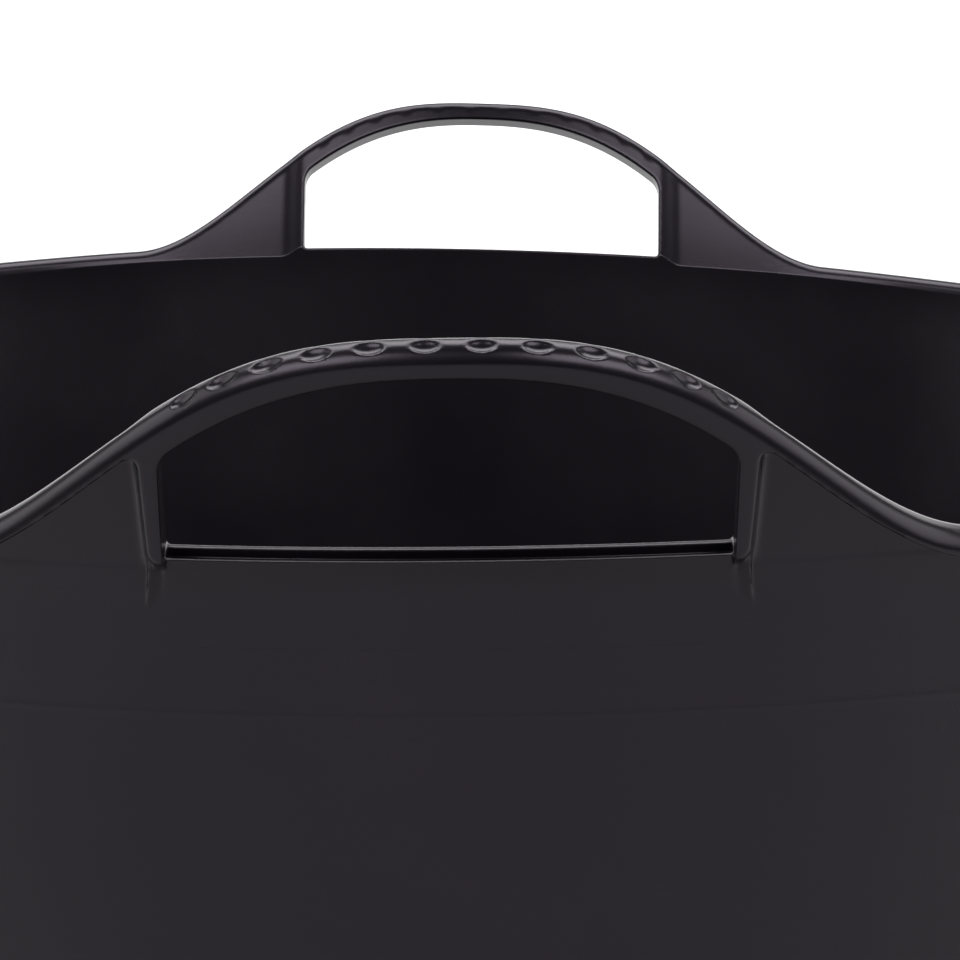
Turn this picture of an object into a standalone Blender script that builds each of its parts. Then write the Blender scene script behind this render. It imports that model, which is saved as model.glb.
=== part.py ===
"""Flexible mortar mixing tub: a thin tapered bucket with two hand holds that rise out of its rim.

The real tub is one flexible moulding. Here each region of it is a solid of its own: the floor, the foot
ring, the round corner, the wall, the rim bead, the sill under each hand hole, the gussets and foot ribs
beside it, and the grip and two posts of each handle. Regions that touch on the real tub stay SEAM apart.

Frame: metres, +Z up, origin on the ground at the middle of the tub. The handles stand at -Y (front) and
+Y (rear). On each half of the tub a place is given by an angle round from its handle's middle, a height
above the rim plane, and a depth out from the wall's outer face. A handle's grip and posts bend in and
out at their feet, so they hang from an empty on that line.
"""

import math

import bmesh
import bpy
from mathutils import Matrix, Vector

MM = 0.001

# Driving dimensions of the tub
RIM_HEIGHT = 380 * MM
WALL_RADIUS = 275 * MM  # outer face of the wall at the rim
WALL_TAPER = math.radians(9)
WALL_THICK = 3.2 * MM
FLOOR_THICK = 4.5 * MM
FOOT_HEIGHT = 5 * MM
FOOT_WIDTH = 10 * MM
CORNER_RADIUS = 20 * MM  # outer radius between floor and wall
BEAD_DEPTH = 5 * MM  # how far the rim bead stands out from the wall
BEAD_HEIGHT = 7 * MM
SEAM = 0.3 * MM  # gap between two regions of the moulding

# Driving dimensions of a handle
HOLE_HALF = 62 * MM  # half the width of the hand hole
HOLE_TOP = 43 * MM  # highest point of the hand hole, above the rim
HOLE_SHOULDER = 0.38  # share of that height that the hole has lost at its sides
HANDLE_TOP = 48.5 * MM
HANDLE_REACH = 118.5 * MM  # where the handle's sweep has sunk back to the rim
SWEEP_POWER = 1.48  # over 1 makes the sweep flatter on top than a cosine
POST_WIDTH = 6 * MM
HANDLE_LEAN = math.radians(23.5)
WEB_INNER = -2.2 * MM  # depth of the inner face of the handle and its gussets
GUSSET_REACH = 112 * MM  # where the gusset ends and the rim bead starts
GUSSET_FOOT = -1.7 * MM  # height of the underside of the gussets, the bead's skirt and the sill
WALL_TOP = GUSSET_FOOT - SEAM
FLEX_GAP = 0.5 * MM  # clearance between a post and its gusset
POST_FOOT = WALL_TOP + 2 * FLEX_GAP

# Driving dimensions of the sill under a hand hole, and of the grip's finger scallops
SILL_PROUD = 1.6 * MM
SILL_DROP = 12 * MM
LIP_WIDTH = 1.3 * MM
SCALLOPS = 12
SCALLOP_PITCH = 11.8 * MM  # along the arch
SCALLOP_WIDTH = 7 * MM
SCALLOP_DEPTH = 1.3 * MM

# Driving dimensions of the tapered rib that runs down the wall from each post's foot
RIB_WIDTH = 4.4 * MM
RIB_TOP = -3.4 * MM
RIB_BOTTOM = -13 * MM
RIB_PROUD = 3.6 * MM

# Where the wall's slope turns into the handle's lean
TAPER_SOFT = 6 * MM
LEAN_SOFT = 7 * MM
LEAN_START = -4 * MM
LEAN_FULL = math.radians(20)  # the lean is whole out to this angle
LEAN_GONE = math.radians(42)  # and gone at this one

# The soft rim never stands quite level: it lifts and drops by this much, saddle-wise, at the wall's radius
SADDLE_TWIST = -4.8 * MM
SADDLE_BOW = -2.6 * MM

# How finely the curved shapes are divided
WALL_STEPS = 24  # sections in a quarter of the wall
BEAD_STEPS = 36
GUSSET_STEPS = 12
SILL_STEPS = 12
POST_STEPS = 4
STEPS_PER_SCALLOP = 4
GRIP_END_STEPS = 2
ROUND_STEPS = 72
CORNER_STEPS = 3
WALL_LEVELS = (0.5, 0.2, 0.1, 0.05, 0.025)  # of the wall's sections, as shares of its height

FRONT, REAR = -1, 1


def ease(value):
    """0 below 0, 1 above 1, and a smooth step between."""
    value = min(1.0, max(0.0, value))
    return value * value * (3 - 2 * value)


def soft_ramp(value, width):
    """0 well below 0, value well above it, and a smooth bend of this width between."""
    return width * math.log1p(math.exp(value / width))


def soft_step(value, width):
    """The slope of soft_ramp."""
    return 1 / (1 + math.exp(-value / width))


def corner_drop():
    """Height below the rim, as a negative, where the wall's straight part starts."""
    return -RIM_HEIGHT + FOOT_HEIGHT + SEAM + CORNER_RADIUS


def saddle(across, out, height):
    """How far the soft rim stands above or below level here, fading to nothing at the wall's foot."""
    fade = max(0.0, 1 - height / corner_drop())
    lift = SADDLE_TWIST * across * out + SADDLE_BOW * (across**2 - out**2)
    return fade * lift / WALL_RADIUS**2


def lean_share(angle):
    """How much of the handle's lean the wall has at this angle."""
    return 1 - ease((abs(angle) - LEAN_FULL) / (LEAN_GONE - LEAN_FULL))


def skin(side, angle, height, depth=0.0):
    """The point at this angle, height and depth on the half of the tub that has this side's handle."""
    share = lean_share(angle)
    radius = WALL_RADIUS - math.tan(WALL_TAPER) * soft_ramp(-height, TAPER_SOFT)
    across = radius * math.sin(angle)
    out = radius * math.cos(angle)
    out += share * math.tan(HANDLE_LEAN) * soft_ramp(height - LEAN_START, LEAN_SOFT)
    slope = math.tan(WALL_TAPER) * soft_step(-height, TAPER_SOFT)
    slope += share * math.tan(HANDLE_LEAN) * soft_step(height - LEAN_START, LEAN_SOFT)
    lean = math.atan(slope)
    # Depth runs along Y beside a handle, so that the handle can turn, and turns to radial beyond it.
    bearing = angle * (1 - share)
    step = depth * math.cos(lean) / math.cos(angle - bearing)
    across += step * math.sin(bearing)
    out += step * math.cos(bearing)
    up = RIM_HEIGHT + height - depth * math.sin(lean) + saddle(across, side * out, height)
    return Vector((across, side * out, up))


def angle_at(across):
    """The angle of a place this far across from the handle's middle, at the rim."""
    return math.asin(across / WALL_RADIUS)


def sweep_height(across):
    """The handle's upper outline: an arch that sweeps down into the rim on both sides."""
    share = min(1.0, abs(across) / HANDLE_REACH) ** SWEEP_POWER
    return HANDLE_TOP * (1 + math.cos(math.pi * share)) / 2


def hole_height(across):
    """The upper edge of the hand hole: a flat-topped arch."""
    share = min(1.0, abs(across) / HOLE_HALF)
    return HOLE_TOP * (1 - HOLE_SHOULDER * (0.7 * share**2 + 0.3 * share**4))


POST_TOP = hole_height(HOLE_HALF)


def material(name, colour, roughness):
    """A Principled material of this colour and roughness, not metallic."""
    made = bpy.data.materials.new(name)
    made.use_nodes = True
    shader = made.node_tree.nodes["Principled BSDF"]
    shader.inputs["Base Color"].default_value = (*colour, 1)
    shader.inputs["Roughness"].default_value = roughness
    shader.inputs["Metallic"].default_value = 0
    return made


def add_object(name, mesh_builder, finish):
    """Makes a named object from a bmesh, with its faces pointing out and its round faces smooth."""
    bmesh.ops.recalc_face_normals(mesh_builder, faces=mesh_builder.faces)
    mesh = bpy.data.meshes.new(name)
    mesh_builder.to_mesh(mesh)
    mesh_builder.free()
    mesh.shade_smooth()
    mesh.set_sharp_from_angle(angle=math.radians(35))
    mesh.materials.append(finish)
    made = bpy.data.objects.new(name, mesh)
    bpy.context.scene.collection.objects.link(made)
    return made


def loft(name, sections, finish, closed=False):
    """A solid through these sections, each a ring of points. Its ends are capped unless it closes."""
    builder = bmesh.new()
    rings = [[builder.verts.new(point) for point in section] for section in sections]
    pairs = list(zip(rings, rings[1:]))
    if closed:
        pairs.append((rings[-1], rings[0]))
    else:
        builder.faces.new(rings[0])
        builder.faces.new(rings[-1])
    for first, second in pairs:
        for i in range(len(first)):
            j = (i + 1) % len(first)
            builder.faces.new((first[i], first[j], second[j], second[i]))
    return add_object(name, builder, finish)


def turned(name, outline, finish):
    """A ring turned about the tub's axis from an outline of (radius, height) points."""
    builder = bmesh.new()
    corners = [builder.verts.new((radius, 0, height)) for radius, height in outline]
    edges = [
        builder.edges.new((corners[i], corners[(i + 1) % len(corners)]))
        for i in range(len(corners))
    ]
    bmesh.ops.spin(
        builder,
        geom=corners + edges,
        cent=(0, 0, 0),
        axis=(0, 0, 1),
        angle=math.tau,
        steps=ROUND_STEPS,
        use_merge=True,
    )
    return add_object(name, builder, finish)


def spread(first, last, steps):
    """Evenly spaced values from first to last, both included."""
    return [first + (last - first) * i / steps for i in range(steps + 1)]


def wall_section(side, angle):
    """One section of the wall: up its outer face, over its top and down its inner face."""
    levels = [corner_drop() + SEAM] + [corner_drop() * share for share in WALL_LEVELS] + [WALL_TOP]
    outer = [skin(side, angle, level) for level in levels]
    inner = [skin(side, angle, level, -WALL_THICK) for level in reversed(levels)]
    return outer + inner


def corner_section(side, angle):
    """One section of the round corner, which turns about a circle from the wall's foot to the floor."""
    outer_top = skin(side, angle, corner_drop())
    inner_top = skin(side, angle, corner_drop(), -WALL_THICK)
    flat = Vector((outer_top.x, outer_top.y, 0))
    direction = flat.normalized()
    radius = flat.length - CORNER_RADIUS
    height = FOOT_HEIGHT + SEAM + CORNER_RADIUS
    inner = CORNER_RADIUS - FLOOR_THICK
    turns = spread(WALL_TAPER, math.pi / 2, CORNER_STEPS)[1:]
    corner_in = [
        direction * (radius + inner * math.cos(t)) + Vector((0, 0, height - inner * math.sin(t)))
        for t in turns
    ]
    corner_out = [
        direction * (radius + CORNER_RADIUS * math.cos(t))
        + Vector((0, 0, height - CORNER_RADIUS * math.sin(t)))
        for t in turns
    ]
    return [outer_top, inner_top] + corner_in + list(reversed(corner_out))


def all_round(section):
    """The sections that this function gives at every station round the tub."""
    angles = spread(-math.pi / 2, math.pi / 2, 2 * WALL_STEPS)[:-1]
    # The rear half is walked the same way round, which reverses its own angle.
    return [section(FRONT, angle) for angle in angles] + [section(REAR, -angle) for angle in angles]


def build_wall(finish):
    return loft("side_wall", all_round(wall_section), finish, closed=True)


def build_corner(finish):
    return loft("base_corner", all_round(corner_section), finish, closed=True)


def floor_radius():
    """Where the wall's round corner ends and the flat floor begins."""
    low = skin(FRONT, -math.pi / 2, corner_drop())
    return abs(low.x) - CORNER_RADIUS


def build_floor(finish):
    builder = bmesh.new()
    bmesh.ops.create_circle(
        builder, cap_ends=True, segments=ROUND_STEPS, radius=floor_radius() - SEAM
    )
    bottom = FOOT_HEIGHT + SEAM
    bmesh.ops.translate(builder, vec=(0, 0, bottom), verts=builder.verts)
    raised = bmesh.ops.extrude_face_region(builder, geom=list(builder.faces))
    top = [item for item in raised["geom"] if isinstance(item, bmesh.types.BMVert)]
    bmesh.ops.translate(builder, vec=(0, 0, FLOOR_THICK), verts=top)
    return add_object("floor_disc", builder, finish)


def build_foot(finish):
    outer = floor_radius() - SEAM
    inner = outer - FOOT_WIDTH
    chamfer = FOOT_HEIGHT / 4
    outline = [
        (inner, FOOT_HEIGHT),
        (inner, chamfer),
        (inner + chamfer, 0),
        (outer - chamfer, 0),
        (outer, chamfer),
        (outer, FOOT_HEIGHT),
    ]
    return turned("foot_ring", outline, finish)


def beaded_section(side, angle, inner):
    """A web from the top of the wall up to a rounded bead, which stands out along the rim and its sweeps."""
    top = sweep_height(WALL_RADIUS * math.sin(angle))
    edge = 0.8 * MM
    outline = [
        (inner, GUSSET_FOOT),
        (inner, top - edge),
        (inner + edge, top),
        (BEAD_DEPTH - 2.6 * MM, top),
        (BEAD_DEPTH - edge, top - 0.7 * MM),
        (BEAD_DEPTH, top - 2.4 * MM),
        (BEAD_DEPTH, top - BEAD_HEIGHT + 1.8 * MM),
        (BEAD_DEPTH - 1.4 * MM, top - BEAD_HEIGHT),
        (SEAM, top - BEAD_HEIGHT),
        (SEAM, GUSSET_FOOT),
    ]
    return [skin(side, angle, height, depth) for depth, height in outline]


def build_bead(name, hand, finish):
    """The rim bead of one side of the tub, from one handle's gusset to the other's."""
    start = angle_at(GUSSET_REACH + SEAM)
    angles = spread(start, math.pi / 2, BEAD_STEPS // 2)
    sections = [beaded_section(FRONT, hand * angle, -WALL_THICK) for angle in angles]
    sections += [
        beaded_section(REAR, hand * angle, -WALL_THICK) for angle in reversed(angles[:-1])
    ]
    return loft(name, sections, finish)


def build_sill(name, side, finish):
    """The thick sill under the hand hole: a lip on the inside, and a wedge that dies into the wall."""
    outline = [
        (-WALL_THICK, GUSSET_FOOT),
        (-WALL_THICK, -0.5 * MM),
        (-WALL_THICK + 0.4 * MM, 0),
        (-WALL_THICK + LIP_WIDTH, 0),
        (-WALL_THICK + LIP_WIDTH + 0.4 * MM, -0.5 * MM),
        (SILL_PROUD - 0.4 * MM, -1.1 * MM),
        (SILL_PROUD, -1.6 * MM),
        (2 * SEAM, -SILL_DROP),
        (SEAM, -SILL_DROP),
        (SEAM, GUSSET_FOOT),
    ]
    edge = HOLE_HALF - SEAM
    sections = [
        [skin(side, angle_at(across), height, depth) for depth, height in outline]
        for across in spread(-edge, edge, SILL_STEPS)
    ]
    return loft(name, sections, finish)


def build_post(name, side, hand, finish):
    """One upright beside the hand hole, from its foot on the wall to the grip."""
    inner, outer = HOLE_HALF, HOLE_HALF + POST_WIDTH
    edge = 0.8 * MM
    outline = [
        (inner, WEB_INNER + edge),
        (inner, BEAD_DEPTH - edge),
        (inner + edge, BEAD_DEPTH),
        (outer - 2 * edge, BEAD_DEPTH),
        (outer, BEAD_DEPTH - 2 * edge),
        (outer, WEB_INNER + edge),
        (outer - edge, WEB_INNER),
        (inner + edge, WEB_INNER),
    ]
    sections = [
        [skin(side, hand * angle_at(across), height, depth) for across, depth in outline]
        for height in spread(POST_FOOT, POST_TOP - SEAM, POST_STEPS)
    ]
    return loft(name, sections, finish)


def build_gusset(name, side, hand, finish):
    """The web outboard of a post, topped by the bead that sweeps down into the rim."""
    sections = [
        beaded_section(side, hand * angle_at(across), WEB_INNER)
        for across in spread(HOLE_HALF + POST_WIDTH + FLEX_GAP, GUSSET_REACH, GUSSET_STEPS)
    ]
    return loft(name, sections, finish)


def build_rib(name, side, hand, finish):
    """A small wedge on the wall under a post's foot, wide and proud at its top and gone at its bottom."""
    middle = HOLE_HALF + POST_WIDTH / 2
    sections = []
    for height, width, proud in (
        (RIB_TOP, RIB_WIDTH, RIB_PROUD),
        ((RIB_TOP + RIB_BOTTOM) / 2, RIB_WIDTH * 0.8, RIB_PROUD * 0.45),
        (RIB_BOTTOM, RIB_WIDTH * 0.4, 2 * SEAM),
    ):
        outline = [
            (middle - width / 2, SEAM),
            (middle - width / 4, proud),
            (middle + width / 4, proud),
            (middle + width / 2, SEAM),
        ]
        sections.append(
            [skin(side, hand * angle_at(across), height, depth) for across, depth in outline]
        )
    return loft(name, sections, finish)


def arch_stations():
    """Places across the grip, as (across, scallop share), evenly spaced along the arch."""
    run = SCALLOPS * SCALLOP_PITCH / 2
    step = SCALLOP_PITCH / STEPS_PER_SCALLOP
    fine = 0.1 * MM
    half = []
    across = 0.0
    along = 0.0
    due = 0.0
    while across < HOLE_HALF and due <= run:
        if along >= due:
            off_middle = abs((along / SCALLOP_PITCH) % 1 - 0.5) * SCALLOP_PITCH
            half.append((across, max(0.0, math.cos(math.pi * off_middle / SCALLOP_WIDTH))))
            due += step
        rise = sweep_height(across + fine) - sweep_height(across)
        along += math.hypot(fine, rise)
        across += fine
    first = half[-1][0]
    half += [(place, 0) for place in spread(first, HOLE_HALF + POST_WIDTH, GRIP_END_STEPS)[1:]]
    return [(-place, share) for place, share in reversed(half[1:])] + half


def grip_outline(scallop):
    """The grip's section as (depth, share of its height), with both upper shoulders scooped out."""
    bite = SCALLOP_DEPTH * scallop
    return [
        (WEB_INNER + 0.7 * MM, 0.0),
        (BEAD_DEPTH - 1.1 * MM, 0.0),
        (BEAD_DEPTH - 0.4 * MM, 0.08),
        (BEAD_DEPTH - 0.4 * MM, 0.42),
        (BEAD_DEPTH, 0.52),
        (BEAD_DEPTH - 0.2 * MM - 0.3 * bite, 0.66 - 0.02 * scallop),
        (BEAD_DEPTH - 1.2 * MM - bite, 0.86 - 0.12 * scallop),
        (BEAD_DEPTH - 2.6 * MM - 0.4 * bite, 0.97),
        (1.2 * MM, 1.0),
        (WEB_INNER + 1.2 * MM, 0.98),
        (WEB_INNER + 0.2 * MM + 0.6 * bite, 0.84 - 0.06 * scallop),
        (WEB_INNER, 0.62),
        (WEB_INNER, 0.12),
    ]


def build_grip(name, side, finish):
    """The arch over the hand hole, from gusset to gusset."""
    sections = []
    for across, scallop in arch_stations():
        low = hole_height(across)
        rise = sweep_height(across) - low
        angle = angle_at(across)
        sections.append(
            [skin(side, angle, low + rise * share, depth) for depth, share in grip_outline(scallop)]
        )
    return loft(name, sections, finish)


def add_flex_line(name, side):
    """An empty whose X axis joins the inner edges of both posts' feet, about which the handle bends."""
    reach = angle_at(HOLE_HALF + POST_WIDTH)
    left = skin(side, -reach, POST_FOOT, WEB_INNER)
    right = skin(side, reach, POST_FOOT, WEB_INNER)
    line = bpy.data.objects.new(name, None)
    line.location = (left + right) / 2
    line.rotation_euler.y = -math.atan2(right.z - left.z, right.x - left.x)
    bpy.context.scene.collection.objects.link(line)
    return line


def hang(piece, line):
    """Parents a piece to the empty that it turns with, without moving it."""
    piece.parent = line
    turned_to = line.rotation_euler.to_matrix().to_4x4()
    piece.matrix_parent_inverse = (Matrix.Translation(line.location) @ turned_to).inverted()


def build_handle(label, side, finish):
    """The grip and posts, which bend at their feet, and the gussets and ribs, which stay with the wall."""
    line = add_flex_line(f"{label}_flex_line", side)
    hang(build_grip(f"{label}_grip", side, finish), line)
    for hand_name, hand in (("left", -1), ("right", 1)):
        hang(build_post(f"{label}_post_{hand_name}", side, hand, finish), line)
        build_gusset(f"{label}_gusset_{hand_name}", side, hand, finish)
        build_rib(f"{label}_foot_rib_{hand_name}", side, hand, finish)


def build_tub():
    for old in list(bpy.data.objects):
        bpy.data.objects.remove(old)
    plastic = material("black_flexible_plastic", (0.028, 0.026, 0.030), 0.45)
    build_floor(plastic)
    build_foot(plastic)
    build_corner(plastic)
    build_wall(plastic)
    build_bead("rim_bead_left", -1, plastic)
    build_bead("rim_bead_right", 1, plastic)
    for label, side in (("front", FRONT), ("rear", REAR)):
        build_sill(f"{label}_sill", side, plastic)
        build_handle(label, side, plastic)


build_tub()
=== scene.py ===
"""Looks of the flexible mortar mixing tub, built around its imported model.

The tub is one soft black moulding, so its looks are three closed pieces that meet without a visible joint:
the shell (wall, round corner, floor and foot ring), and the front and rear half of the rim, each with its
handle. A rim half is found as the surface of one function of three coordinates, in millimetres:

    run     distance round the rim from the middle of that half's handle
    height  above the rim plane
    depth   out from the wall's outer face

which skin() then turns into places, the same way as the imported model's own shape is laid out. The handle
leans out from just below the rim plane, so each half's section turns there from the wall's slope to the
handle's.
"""

import math

import bpy
import numpy as np
from mathutils import Matrix, Vector


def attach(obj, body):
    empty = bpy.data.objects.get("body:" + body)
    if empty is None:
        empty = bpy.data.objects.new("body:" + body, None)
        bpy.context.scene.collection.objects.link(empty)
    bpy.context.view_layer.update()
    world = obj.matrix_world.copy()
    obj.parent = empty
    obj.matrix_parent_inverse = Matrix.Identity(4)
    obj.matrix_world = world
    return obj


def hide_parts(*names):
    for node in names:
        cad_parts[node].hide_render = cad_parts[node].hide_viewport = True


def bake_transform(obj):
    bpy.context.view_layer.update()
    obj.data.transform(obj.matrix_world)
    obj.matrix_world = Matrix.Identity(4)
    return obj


MM = 0.001
SHARP_ANGLE = math.radians(50)
FRONT, REAR = -1, 1
HANDLE_NODES = ("grip", "post_left", "post_right", "gusset_left", "gusset_right")
HANDLE_NODES += ("foot_rib_left", "foot_rib_right", "sill")

# Driving dimensions in millimetres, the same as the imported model's
RIM_HEIGHT = 380
WALL_RADIUS = 275
WALL_TAPER = math.radians(9)
WALL_THICK = 3.2
FLOOR_THICK = 4.5
FOOT_HEIGHT = 5
FOOT_WIDTH = 10
CORNER_RADIUS = 20
BEAD_DEPTH = 5
HOLE_HALF = 62
HANDLE_REACH = 118.5
SWEEP_POWER = 1.48
HANDLE_LEAN = math.radians(23.5)
WEB_INNER = -2.2
TAPER_SOFT = 6
LEAN_SOFT = 7
LEAN_START = -4
LEAN_ENDS = (math.radians(20), math.radians(42))
SADDLE_TWIST = -4.8
SADDLE_BOW = -2.6
CORNER_DROP = -RIM_HEIGHT + FOOT_HEIGHT + CORNER_RADIUS

# The tops of the hand hole and the handle, up to 1 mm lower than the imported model's
HOLE_TOP = 42.0
HANDLE_TOP = 48.0

# Where the rim halves end, and the grid that their surface is found on: each zone's end and step along
# the run, then the heights and depths, with the spans at the ledge where the grid is finest
RIM_FOOT = -22.5
HALF_RUN = WALL_RADIUS * math.pi / 2
FINE = 0.5
RUN_ZONES = ((56, 0.85), (70, FINE), (128, 0.85), (HALF_RUN, 4))
FINE_FOOT = -15
COARSE_HEIGHT = 1.5
LEDGE_HEIGHTS = (-5, 1)
DEPTHS = (-6.75, BEAD_DEPTH + 1.8)
LEDGE_DEPTHS = (0.5, 2.8)

# The shell: its sections round the tub, how the foot ring steps in from the corner, and the faint hoop
SHELL_STEPS = 384
FOOT_STEP = 0.5
FOOT_LIFT = 0.01
FOOT_INSET = 0.6
HOOP_HEIGHT = -38
HOOP_PROUD = 0.12
HOOP_WIDTH = 0.7
HOOP_REACH = 4

# The section over the rim and grip: an outer roll down to a crisp crease, and a softer inner shoulder
ROLL_RADIUS = 5.2
ROLL_CREASE = 0.25
ROLL_PAST = ROLL_RADIUS * (1 - math.cos(HANDLE_LEAN))
SHOULDER_RADIUS = 3.0
FACE_EDGE = 0.8
ROOT_FILLET = 1.5
INNER_EDGE = 0.9

# The roll's height down its face: on the sweeps, and on the level rim past them
SWEEP_ROLL = 3.5
RIM_ROLL = 5.0
ROLL_CHANGE = (95, 125)
WEB_CORNER = 3.5

# The hand hole's outline
HOLE_SHOULDER = 0.44
HOLE_POWER = 2.5
HOLE_CORNER = 2.4
HOLE_FOOT = 1.2
HOLE_EDGE = 0.7

# The sill at the hole's foot: an outer ledge that slopes back into a channel, the lip behind it, and how
# far up and how near the hole's sides its cuts reach
LEDGE = -0.5
LEDGE_PROUD = 1.6
LEDGE_GUTTER = 1.2
CHANNEL_FLOOR = -3.5
CHANNEL_EDGE = 0.08
LIP_TOP = -1.45
LIP_DEPTH = -3.9
SILL_TOP = 2.4
SILL_INSET = 0.4
SILL_EDGE = 0.1

# The wall's outer face by the hole: a swell below the ledge, a rib below each post, and webs set back
SWELL_HEIGHTS = (-14, 12)
SWELL_SIDES = (HOLE_HALF - 0.5, HOLE_HALF + 2.5)
RIB_FOOT = -13.8
RIB_RISE = 10.4
RIB_GROWTH = 0.7
RIB_LINE = 66.9
RIB_SHIFT = 1.4
RIB_WIDTH = 0.4
RIB_SPREAD = 4.2
RIB_EDGE = 0.5
RIB_PROUD = 1.7
RIB_ENDS = (-3, -1)
WEB_SET_BACK = 0.2
WEB_HEIGHTS = (-5, -3.5)
WEB_SIDES = (HOLE_HALF + 4, HOLE_HALF + 7)
WEB_ENDS = (150, 210)

# The post's flange: its face narrows a little towards the foot, and its outer side slopes
POST_FACE = 65.1
POST_SPREAD = 0.05
POST_SLOPE = math.radians(13)
FOOT_TOP = -0.8
FOOT_SLOPE = math.radians(34)
FOOT_CORNER = 2.5

# Heights of the inner face's crease below the webs and below the hole, how soon one crease turns into the
# other, and the height from which the handle is thinnest
WEB_CREASE = -4
SILL_CREASE = -1
POST_STEP = 8
THIN_HEIGHT = 30

# Finger dimples: their number and spacing each way round the arch, then for the outer and the inner row
# the centre's depth and drop below the crown, the reach, the bite and the softness
DIMPLES = 6
DIMPLE_MIDDLE = 1.3
DIMPLE_SWING = 75
DIMPLE_STEP = 0.157
DIMPLE_HALF = 3.4
DIMPLE_ROWS = ((1.45, 0.3, 1.85, 1.1, 1.1), (-2.6, 2.0, 2.4, 0.25, 2.0))

# The black plastic, from its darker and glossier places to its paler and duller ones
PLASTIC_COLOURS = ((0.0014, 0.0008, 0.0022, 1), (0.0056, 0.0044, 0.0064, 1))
PLASTIC_ROUGHNESS = (0.23, 0.30)
PLASTIC_TINT = (1.0, 0.88, 1.04, 1)

# The studio in metres: boxes in front, at the sides and over the rear rim, and a ceiling and screen behind
FLOOR_HALF = 30
TUB_MIDDLE = (0, 0, 0.4)
FRONT_BOX_REACH = 2.6
FRONT_BOX_TURN = math.radians(38)
FRONT_BOX_RISE = math.radians(35)
SIDE_BOX_PLACE = (2.9, 0, 1.7)
TOP_BOX_PLACE = (0, 0.87, 2.75)
CEILING_PLACE = (0, 6, 2.6)
SCREEN_PLACE = (0, 9, 3)
WORLD_STRENGTH = 0.08

# The camera, in metres, millimetres and radians
CAMERA_PLACE = (0.0170, -1.1188, 0.5486)
CAMERA_TURN = math.radians(0.70)
CAMERA_TILT = math.radians(90 - 10.11)
CAMERA_ROLL = math.radians(0.31)
LENS = 149.6
SENSOR = 36


def ramp(value, start, end):
    """An eased step, from 0 up to the start to 1 from the end on."""
    share = np.clip((value - start) / (end - start), 0, 1)
    return share * share * (3 - 2 * share)


def soft_ramp(value, width):
    """The value itself where it is positive and 0 where it is negative, with a soft bend between."""
    return width * np.logaddexp(0, value / width)


def soft_step(value, width):
    """The slope of the soft ramp."""
    return 1 / (1 + np.exp(-value / width))


def round_max(first, second, radius):
    """The greater of two distances, with the outer edge between their surfaces rounded."""
    near = np.hypot(np.maximum(radius + first, 0), np.maximum(radius + second, 0))
    return np.minimum(-radius, np.maximum(first, second)) + near


def round_min(first, second, radius):
    """The lesser of two distances, with the inner corner between their surfaces filled round."""
    return -round_max(-first, -second, radius)


def saddle(across, out, height):
    """The soft rim's lift out of level, saddle-wise."""
    fade = np.maximum(0, 1 - height / CORNER_DROP)
    lift = SADDLE_TWIST * across * out + SADDLE_BOW * (across**2 - out**2)
    return fade * lift / WALL_RADIUS**2


def lean_share(angle):
    """How much of the handle's lean there is at this angle round the tub from its middle."""
    return 1 - ramp(np.abs(angle), *LEAN_ENDS)


def skin(side, run, height, depth):
    """Places in metres of these coordinates, on the half of the tub that has this side's handle."""
    angle = run / WALL_RADIUS
    share = lean_share(angle)
    radius = WALL_RADIUS - math.tan(WALL_TAPER) * soft_ramp(-height, TAPER_SOFT)
    across = radius * np.sin(angle)
    out = radius * np.cos(angle)
    out = out + share * math.tan(HANDLE_LEAN) * soft_ramp(height - LEAN_START, LEAN_SOFT)
    slope = math.tan(WALL_TAPER) * soft_step(-height, TAPER_SOFT)
    slope = slope + share * math.tan(HANDLE_LEAN) * soft_step(height - LEAN_START, LEAN_SOFT)
    lean = np.arctan(slope)
    bearing = angle * (1 - share)
    step = depth * np.cos(lean) / np.cos(angle - bearing)
    across = across + step * np.sin(bearing)
    out = out + step * np.cos(bearing)
    up = RIM_HEIGHT + height - depth * np.sin(lean) + saddle(across, side * out, height)
    return np.stack([across, side * out, up], -1) * MM


def sweep_height(across):
    """The handle's upper outline, and its slope."""
    share = np.minimum(1, across / HANDLE_REACH)
    turn = math.pi * share**SWEEP_POWER
    height = HANDLE_TOP * (1 + np.cos(turn)) / 2
    steep = SWEEP_POWER * math.pi * share ** (SWEEP_POWER - 1) / HANDLE_REACH
    return height, -HANDLE_TOP * np.sin(turn) / 2 * steep * (share < 1)


def hole_distance(across, height):
    """Distance into the outline of the hand hole, negative inside it."""
    share = across / HOLE_HALF
    top = HOLE_TOP * (1 - HOLE_SHOULDER * share**HOLE_POWER)
    slope = HOLE_TOP * HOLE_SHOULDER * HOLE_POWER * share ** (HOLE_POWER - 1) / HOLE_HALF
    over = (height - top) / np.hypot(1, slope)
    outline = round_max(over, across - HOLE_HALF, HOLE_CORNER)
    return round_max(outline, LIP_TOP - height, HOLE_FOOT)


def dimple_depth(across, slope, depth, below):
    """How deep the finger dimples are at each place by the grip's crown."""
    turn = np.arcsin(np.minimum(1, across / DIMPLE_SWING))
    place = turn / DIMPLE_STEP
    pitch = DIMPLE_SWING * DIMPLE_STEP * np.cos(turn) * np.hypot(1, slope)
    off = (place % 1 - 0.5) * pitch / DIMPLE_HALF
    total = 0
    for centre, drop, reach, bite, softness in DIMPLE_ROWS:
        away = off**2 + ((depth - centre) / reach) ** 2 + ((below - drop) / reach) ** 2
        total = total + bite * np.clip(1 - away, 0, 1) ** softness
    return total * (place < DIMPLES)


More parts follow.
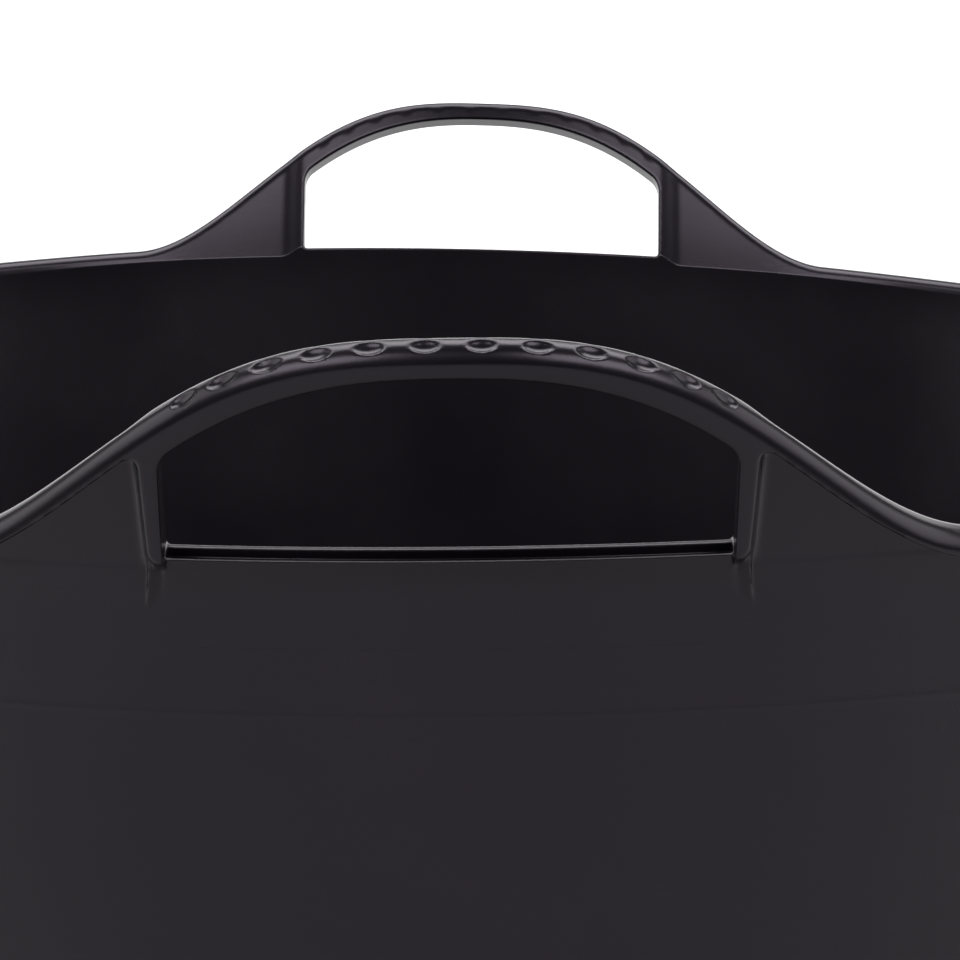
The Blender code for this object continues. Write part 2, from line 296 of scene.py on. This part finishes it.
def wall_proud(run, across, height):
    """How far the wall's outer face stands out: under the ledge, at the foot rib, and less in the webs."""
    swell = LEDGE_PROUD * np.minimum(1, 2 * ramp(height, *SWELL_HEIGHTS))
    swell = swell * (1 - ramp(across, *SWELL_SIDES))
    fade = np.clip((height - RIB_FOOT) / RIB_RISE, 0, 1) ** RIB_GROWTH
    ridge = RIB_LINE - RIB_SHIFT * fade
    start = ridge - RIB_WIDTH - RIB_SPREAD * fade
    climb = np.clip((across - start) / (ridge - start), 0, 1)
    fall = np.clip((ridge + RIB_EDGE - across) / RIB_EDGE, 0, 1)
    rib = RIB_PROUD * fade * climb * fall * (1 - ramp(height, *RIB_ENDS))
    set_back = WEB_SET_BACK * ramp(height, *WEB_HEIGHTS) * ramp(across, *WEB_SIDES)
    set_back = set_back * (1 - ramp(np.abs(run), *WEB_ENDS))
    return np.maximum(swell, rib) - set_back


def flange_distance(across, height, depth, below):
    """The raised face: the band along the rim and arch, and the posts down from it."""
    roll_height = SWEEP_ROLL + (RIM_ROLL - SWEEP_ROLL) * ramp(across, *ROLL_CHANGE)
    face = POST_FACE + POST_SPREAD * height
    side = (across - face - (BEAD_DEPTH - depth) * math.tan(POST_SLOPE)) * math.cos(POST_SLOPE)
    foot = (FOOT_TOP - height) * math.cos(FOOT_SLOPE) + (depth - BEAD_DEPTH) * math.sin(FOOT_SLOPE)
    post = round_max(side, foot, FOOT_CORNER)
    outline = round_min(below - roll_height, post, WEB_CORNER)
    return round_max(outline, depth - BEAD_DEPTH, FACE_EDGE)


def inner_face(across, height, share):
    """Depth of the inner face: thinner in the handle, with a crease where the lean begins."""
    crease = SILL_CREASE + (WEB_CREASE - SILL_CREASE) * ramp(across, HOLE_HALF, HOLE_HALF + POST_STEP)
    bend = soft_ramp(height - LEAN_START, LEAN_SOFT) - np.maximum(0, height - crease)
    thin = ramp(height, WEB_CREASE, THIN_HEIGHT)
    return -WALL_THICK + (WALL_THICK + WEB_INNER) * thin - math.tan(HANDLE_LEAN) * share * bend


def tub_value(run, height, depth):
    """The rim half's shape: negative inside the moulding and positive outside it."""
    angle = run / WALL_RADIUS
    across = np.abs(WALL_RADIUS * np.sin(angle))
    top, slope = sweep_height(across)
    above = (height - top) / np.hypot(1, slope)
    wall = depth - wall_proud(run, across, height)
    body = round_min(wall, flange_distance(across, height, depth, -above), ROOT_FILLET)
    roll = round_max(above, depth - BEAD_DEPTH - ROLL_PAST, ROLL_RADIUS)
    body = round_max(body, roll, ROLL_CREASE)
    inner = inner_face(across, height, lean_share(angle)) - depth
    shoulder = round_max(above, inner, SHOULDER_RADIUS)
    body = np.maximum(round_max(body, inner, INNER_EDGE), shoulder)
    body = round_max(body, -hole_distance(across, height), HOLE_EDGE)

    # At the sill the raised face is cut back to the wall's swell, and the channel is sunk behind the ledge
    sill = np.maximum(across - HOLE_HALF + SILL_INSET, height - SILL_TOP)
    body = round_max(body, np.minimum(-sill, wall), SILL_EDGE)
    gutter = np.maximum(CHANNEL_FLOOR, LEDGE + LEDGE_GUTTER * (depth - LEDGE_PROUD))
    channel = np.maximum(np.maximum(sill, gutter - height), LIP_DEPTH - depth)
    body = round_max(body, -channel, CHANNEL_EDGE)

    aside = np.abs(WALL_RADIUS * np.sin(angle) - DIMPLE_MIDDLE)
    return body + dimple_depth(aside, slope, depth, -above)


def axis_run():
    """Stations round the rim, even within each zone, ending on both halves' joint."""
    half = [np.zeros(1)]
    start = 0
    for end, step in RUN_ZONES:
        half.append(np.linspace(start, end, round((end - start) / step) + 1)[1:])
        start = end
    half = np.concatenate(half)
    return np.concatenate([-half[:0:-1], half])


def axis_height():
    """Stations up the rim half, from its foot on the wall to above the grip."""
    low = np.linspace(RIM_FOOT, FINE_FOOT, round((FINE_FOOT - RIM_FOOT) / COARSE_HEIGHT) + 1)
    high = np.arange(FINE_FOOT, HANDLE_TOP + 2 * FINE, FINE)
    return halved(np.concatenate([low[:-1], high]), *LEDGE_HEIGHTS)


def axis_depth():
    """Stations out through the wall, from inside the tub to outside the roll."""
    return halved(np.arange(*DEPTHS, FINE), *LEDGE_DEPTHS)


def halved(stations, low, high):
    """These stations with one more between each two that lie from low to high."""
    middles = (stations[:-1] + stations[1:]) / 2
    return np.sort(np.concatenate([stations, middles[(middles > low) & (middles < high)]]))


def gradient(points, value):
    """The value's slope along each coordinate at each point."""
    step = 0.05
    parts = []
    for axis in range(3):
        shift = np.zeros(3)
        shift[axis] = step
        ahead = value(*(points + shift).T)
        behind = value(*(points - shift).T)
        parts.append((ahead - behind) / (2 * step))
    return np.stack(parts, -1)


def settle(points, free, value, rounds=5):
    """Moves points onto the value's zero surface, along the coordinates in which each is free."""
    longest = 0.4
    for _ in range(rounds):
        slope = gradient(points, value) * free
        size = (slope**2).sum(-1)
        step = value(*points.T) / np.maximum(size, 1e-3)
        move = -slope * step[:, None]
        length = np.linalg.norm(move, axis=1)
        points = points + move * np.minimum(1, longest / np.maximum(length, 1e-9))[:, None]
    return points


def net(axes, closed_low, closed_high, value):
    """A closed quad mesh of the value's zero surface on a grid, flat where the grid ends it."""
    axes = [
        np.concatenate([a[:1]] * low + [a] + [a[-1:]] * high)
        for a, low, high in zip(axes, closed_low, closed_high)
    ]
    open_field = value(*np.meshgrid(*axes, indexing="ij"))
    field = np.where(end_layers(open_field.shape, closed_low, closed_high), 1.0, open_field)
    cells, points = cell_points(axes, field)
    free = free_ways(cells, np.array(field.shape) - 2, closed_low, closed_high)
    end = free.min(1) == 0
    moving = ~end | edge_cells(open_field < 0, cells)
    points[moving] = settle(points[moving], free[moving], value)
    quads = cell_quads(field < 0, cells)
    for _ in range(2):
        relaxed = (points + neighbour_mean(points, quads)) / 2
        points[~end] = settle(relaxed[~end], free[~end], value, 3)
    return points, quads


def end_layers(shape, closed_low, closed_high):
    """Marks the grid's outermost layer at each closed end."""
    marked = np.zeros(shape, bool)
    for axis in range(3):
        layers = np.moveaxis(marked, axis, 0)
        layers[:closed_low[axis]] = True
        layers[len(layers) - closed_high[axis]:] = True
    return marked


def edge_ends(axis):
    """The slices that pick both ends of every grid edge along this axis."""
    first = [slice(None)] * 3
    second = [slice(None)] * 3
    first[axis] = slice(0, -1)
    second[axis] = slice(1, None)
    return tuple(first), tuple(second)


def cells_round(edges, axis):
    """The four cells round each of these grid edges, in turn."""
    one, two = (axis + 1) % 3, (axis + 2) % 3
    for back_one, back_two in ((0, 0), (1, 0), (1, 1), (0, 1)):
        cells = edges.copy()
        cells[:, one] -= back_one
        cells[:, two] -= back_two
        yield cells


def cell_points(axes, field):
    """The cells that the surface passes through, and the mean place where it crosses each one's edges."""
    inside = field < 0
    shape = np.array(field.shape) - 1
    total = np.zeros((*shape, 3))
    count = np.zeros(shape)
    for axis in range(3):
        first, second = edge_ends(axis)
        crossing = inside[first] != inside[second]
        edges = np.argwhere(crossing)
        low = field[first][crossing]
        high = field[second][crossing]
        places = [axes[a][edges[:, a]] for a in range(3)]
        step = axes[axis][edges[:, axis] + 1] - places[axis]
        places[axis] = places[axis] + low / (low - high) * step
        point = np.stack(places, -1)
        for cells in cells_round(edges, axis):
            within = ((cells >= 0) & (cells < shape)).all(1)
            index = tuple(cells[within].T)
            np.add.at(total, index, point[within])
            np.add.at(count, index, 1)
    cells = np.argwhere(count > 0)
    index = tuple(cells.T)
    return cells, total[index] / count[index][:, None]


def cell_quads(inside, cells):
    """A quad between four cells' points for each grid edge that the surface crosses, facing outward."""
    number = np.full(np.array(inside.shape) - 1, -1)
    number[tuple(cells.T)] = np.arange(len(cells))
    quads = []
    for axis in range(3):
        first, second = edge_ends(axis)
        crossing = inside[first] != inside[second]
        around = cells_round(np.argwhere(crossing), axis)
        ring = np.stack([number[tuple(near.T)] for near in around], -1)
        outward = inside[first][crossing]
        quads.append(np.where(outward[:, None], ring, ring[:, ::-1]))
    return np.concatenate(quads)


def free_ways(cells, last, closed_low, closed_high):
    """The coordinates in which each cell's point may move: one in a closed end's layer stays in it."""
    free = np.ones((len(cells), 3))
    for axis in range(3):
        if closed_low[axis]:
            free[cells[:, axis] == 0, axis] = 0
        if closed_high[axis]:
            free[cells[:, axis] == last[axis], axis] = 0
    return free


def neighbour_mean(points, quads):
    """The mean of each point's neighbours along the quads' edges."""
    total = np.zeros_like(points)
    count = np.zeros(len(points))
    for turn in (1, 3):
        for corner in range(4):
            here, there = quads[:, corner], quads[:, (corner + turn) % 4]
            np.add.at(total, here, points[there])
            np.add.at(count, here, 1)
    return total / count[:, None]


def edge_cells(inside, cells):
    """Which of these cells hold both inside and outside corners of the shape itself."""
    found = np.zeros(len(cells), int)
    for a in (0, 1):
        for b in (0, 1):
            for c in (0, 1):
                found += inside[tuple((cells + (a, b, c)).T)]
    return (found > 0) & (found < 8)


def add_mesh(name, points, faces):
    """A smooth-shaded object in the scene, with its sharp edges kept."""
    mesh = bpy.data.meshes.new(name)
    mesh.from_pydata([tuple(p) for p in points], [], [tuple(f) for f in faces])
    mesh.validate()
    mesh.shade_smooth()
    mesh.set_sharp_from_angle(angle=SHARP_ANGLE)
    made = bpy.data.objects.new(name, mesh)
    bpy.context.scene.collection.objects.link(made)
    return made


def build_rim(name, side):
    """Half of the rim, with its handle."""
    axes = [axis_run(), axis_height(), axis_depth()]
    points, quads = net(axes, (1, 1, 0), (1, 0, 0), tub_value)
    if side == REAR:
        quads = quads[:, ::-1]
    return add_mesh(name, skin(side, *points.T), quads)


def shell_levels():
    """Heights up the wall, from the round corner to the foot of the rim halves, closest at the hoop."""
    low, high = HOOP_HEIGHT - HOOP_REACH, HOOP_HEIGHT + HOOP_REACH
    below = np.linspace(CORNER_DROP, low, 24)
    hoop = np.linspace(low, high, 25)
    above = np.linspace(high, RIM_FOOT, 9)
    return np.concatenate([below[:-1], hoop[:-1], above])


def shell_outline(side, run):
    """A section of the shell in metres: from the floor's centre, over the wall, to the base's centre."""
    levels = shell_levels()
    hoop = HOOP_PROUD * np.exp(-(((levels - HOOP_HEIGHT) / HOOP_WIDTH) ** 2))
    runs = np.full(len(levels), run)
    outer = skin(side, runs, levels, hoop)
    share = lean_share(run / WALL_RADIUS)
    across = abs(WALL_RADIUS * math.sin(run / WALL_RADIUS))
    inner = skin(side, runs, levels, inner_face(across, levels, share))
    low = outer[0]
    size = math.hypot(low[0], low[1])
    direction = np.array([low[0] / size, low[1] / size, 0])
    middle = size / MM - CORNER_RADIUS
    turns = np.linspace(WALL_TAPER, math.pi / 2, 10)[1:]

    def places(radius, height):
        return (np.outer(radius, direction) + np.outer(height, (0, 0, 1))) * MM

    def arc(radius):
        up = FOOT_HEIGHT + CORNER_RADIUS - radius * np.sin(turns)
        return places(middle + radius * np.cos(turns), up)

    floor_top = FOOT_HEIGHT + FLOOR_THICK
    floor = places(np.array([0, middle * 0.5, middle * 0.85]), np.full(3, floor_top))
    foot_outer = middle - FOOT_INSET
    foot_inner = middle - FOOT_WIDTH
    chamfer = FOOT_HEIGHT / 4
    foot = [
        (middle - FOOT_STEP, FOOT_HEIGHT + FOOT_LIFT),
        (foot_outer, chamfer),
        (foot_outer - chamfer, 0),
        (foot_inner + chamfer, 0),
        (foot_inner, chamfer),
        (foot_inner, FOOT_HEIGHT),
        (0, FOOT_HEIGHT),
    ]
    ring = [floor, arc(CORNER_RADIUS - FLOOR_THICK)[::-1], inner]
    ring += [outer[::-1], arc(CORNER_RADIUS), places(*np.transpose(foot))]
    return np.concatenate(ring)


def build_shell(name):
    """The wall below the rim halves, the round corner, the floor and the foot ring."""
    runs = np.linspace(-HALF_RUN, HALF_RUN, SHELL_STEPS // 2 + 1)[:-1]
    rings = [shell_outline(FRONT, run) for run in runs]
    rings += [shell_outline(REAR, -run) for run in runs]
    count, size = len(rings), len(rings[0]) - 2
    points = np.concatenate([ring[1:-1] for ring in rings])
    centre_top, centre_bottom = len(points), len(points) + 1
    points = np.concatenate([points, rings[0][:1], rings[0][-1:]])
    faces = []
    for i in range(count):
        here, there = i * size, (i + 1) % count * size
        for k in range(size - 1):
            faces.append((here + k, there + k, there + k + 1, here + k + 1))
        faces.append((centre_top, there, here))
        faces.append((centre_bottom, here + size - 1, there + size - 1))
    return add_mesh(name, points, faces)


def node(tree, kind, **values):
    """A shader node with these settings and input values."""
    made = tree.nodes.new(kind)
    for key, value in values.items():
        if key in made.inputs:
            made.inputs[key].default_value = value
        else:
            setattr(made, key, value)
    return made


def black_plastic():
    """Soft black plastic: a low sheen, with faint blotches of colour and gloss and a fine grain."""
    made = bpy.data.materials.new("black_flexible_plastic_look")
    made.use_nodes = True
    tree = made.node_tree
    shader = tree.nodes["Principled BSDF"]
    shader.inputs["Specular IOR Level"].default_value = 0.3
    shader.inputs["Specular Tint"].default_value = PLASTIC_TINT
    place = node(tree, "ShaderNodeTexCoord")
    blotch = node(tree, "ShaderNodeTexNoise", Scale=22.0, Detail=4.0, Roughness=0.6)
    tree.links.new(place.outputs["Object"], blotch.inputs["Vector"])
    colour = node(tree, "ShaderNodeMix", data_type="RGBA")
    colour.inputs["A"].default_value, colour.inputs["B"].default_value = PLASTIC_COLOURS
    tree.links.new(blotch.outputs["Fac"], colour.inputs["Factor"])
    tree.links.new(colour.outputs["Result"], shader.inputs["Base Color"])
    rough = node(tree, "ShaderNodeMapRange")
    rough.inputs["To Min"].default_value, rough.inputs["To Max"].default_value = PLASTIC_ROUGHNESS
    tree.links.new(blotch.outputs["Fac"], rough.inputs["Value"])
    tree.links.new(rough.outputs["Result"], shader.inputs["Roughness"])
    grain = node(tree, "ShaderNodeTexNoise", Scale=900.0, Detail=2.0)
    tree.links.new(place.outputs["Object"], grain.inputs["Vector"])
    bump = node(tree, "ShaderNodeBump", Strength=0.04, Distance=0.0004)
    tree.links.new(grain.outputs["Fac"], bump.inputs["Height"])
    tree.links.new(bump.outputs["Normal"], shader.inputs["Normal"])
    return made


def pale_floor():
    """Matt and pale grey."""
    made = bpy.data.materials.new("pale_floor")
    made.use_nodes = True
    shader = made.node_tree.nodes["Principled BSDF"]
    shader.inputs["Base Color"].default_value = (0.45, 0.45, 0.45, 1)
    shader.inputs["Roughness"].default_value = 0.9
    shader.inputs["Specular IOR Level"].default_value = 0.1
    return made


def add_floor():
    signs = ((-1, -1), (1, -1), (1, 1), (-1, 1))
    corners = [(across * FLOOR_HALF, out * FLOOR_HALF, 0) for across, out in signs]
    made = add_mesh("floor", corners, [(0, 1, 2, 3)])
    made.data.materials.append(pale_floor())


def add_softbox(name, place, target, size, radiance):
    """A soft rectangular light of this radiance, aimed at a point."""
    data = bpy.data.lights.new(name, "AREA")
    data.shape = "RECTANGLE"
    data.size, data.size_y = size
    data.energy = radiance * math.pi * size[0] * size[1]
    made = bpy.data.objects.new(name, data)
    made.location = place
    aim = Vector(target) - Vector(place)
    made.rotation_mode = "QUATERNION"
    made.rotation_quaternion = aim.to_track_quat("-Z", "Y")
    bpy.context.scene.collection.objects.link(made)
    return made


def below(place):
    """The point of the floor under this place."""
    return place[0], place[1], 0


def add_lights():
    world = bpy.data.worlds.new("studio")
    bpy.context.scene.world = world
    world.use_nodes = True
    background = world.node_tree.nodes["Background"]
    background.inputs["Color"].default_value = (1, 1, 1, 1)
    background.inputs["Strength"].default_value = WORLD_STRENGTH
    for name, hand in (("left", -1), ("right", 1)):
        level = FRONT_BOX_REACH * math.cos(FRONT_BOX_RISE)
        place = (
            hand * level * math.sin(FRONT_BOX_TURN),
            -level * math.cos(FRONT_BOX_TURN),
            TUB_MIDDLE[2] + FRONT_BOX_REACH * math.sin(FRONT_BOX_RISE),
        )
        add_softbox(f"{name}_box", place, TUB_MIDDLE, size=(1.8, 1.1), radiance=6)
    for name, hand in (("left", -1), ("right", 1)):
        across, out, up = SIDE_BOX_PLACE
        place = (hand * across, out, up)
        add_softbox(f"{name}_side_box", place, TUB_MIDDLE, size=(2.4, 1.6), radiance=2.2)
    add_softbox("top_box", TOP_BOX_PLACE, below(TOP_BOX_PLACE), size=(3.6, 1.5), radiance=6.5)
    under = below(CEILING_PLACE)
    ceiling = add_softbox("back_ceiling", CEILING_PLACE, under, size=(9, 7), radiance=4.0)
    ceiling.visible_glossy = False
    add_softbox("back_screen", SCREEN_PLACE, (0, 0, SCREEN_PLACE[2]), size=(14, 6), radiance=2)


def add_camera():
    data = bpy.data.cameras.new("camera")
    data.lens = LENS
    data.sensor_width = SENSOR
    made = bpy.data.objects.new("camera", data)
    turn = Matrix.Rotation(CAMERA_TURN, 4, "Z")
    tilt = Matrix.Rotation(CAMERA_TILT, 4, "X")
    roll = Matrix.Rotation(CAMERA_ROLL, 4, "Z")
    made.matrix_world = Matrix.Translation(CAMERA_PLACE) @ turn @ tilt @ roll
    bpy.context.scene.collection.objects.link(made)
    bpy.context.scene.camera = made


def build_scene():
    """All three pieces with what they stand for, and the studio round them."""
    plastic = black_plastic()
    shell = build_shell("tub_shell")
    shell.data.materials.append(plastic)
    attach(shell, "tub")
    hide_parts("side_wall", "base_corner", "floor_disc", "foot_ring")
    for label, side in (("front", FRONT), ("rear", REAR)):
        rim = build_rim(f"{label}_rim_and_handle", side)
        rim.data.materials.append(plastic)
        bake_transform(rim)
        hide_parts("rim_bead_left", "rim_bead_right", *(f"{label}_{n}" for n in HANDLE_NODES))
    add_floor()
    add_lights()
    add_camera()


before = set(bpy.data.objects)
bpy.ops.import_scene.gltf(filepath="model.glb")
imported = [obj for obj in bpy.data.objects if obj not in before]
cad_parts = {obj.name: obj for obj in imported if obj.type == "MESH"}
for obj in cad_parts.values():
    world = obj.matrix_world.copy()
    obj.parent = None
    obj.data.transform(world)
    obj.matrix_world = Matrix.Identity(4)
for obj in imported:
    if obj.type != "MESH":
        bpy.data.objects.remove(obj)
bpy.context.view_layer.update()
bpy.context.scene.view_settings.view_transform = "Standard"
build_scene()
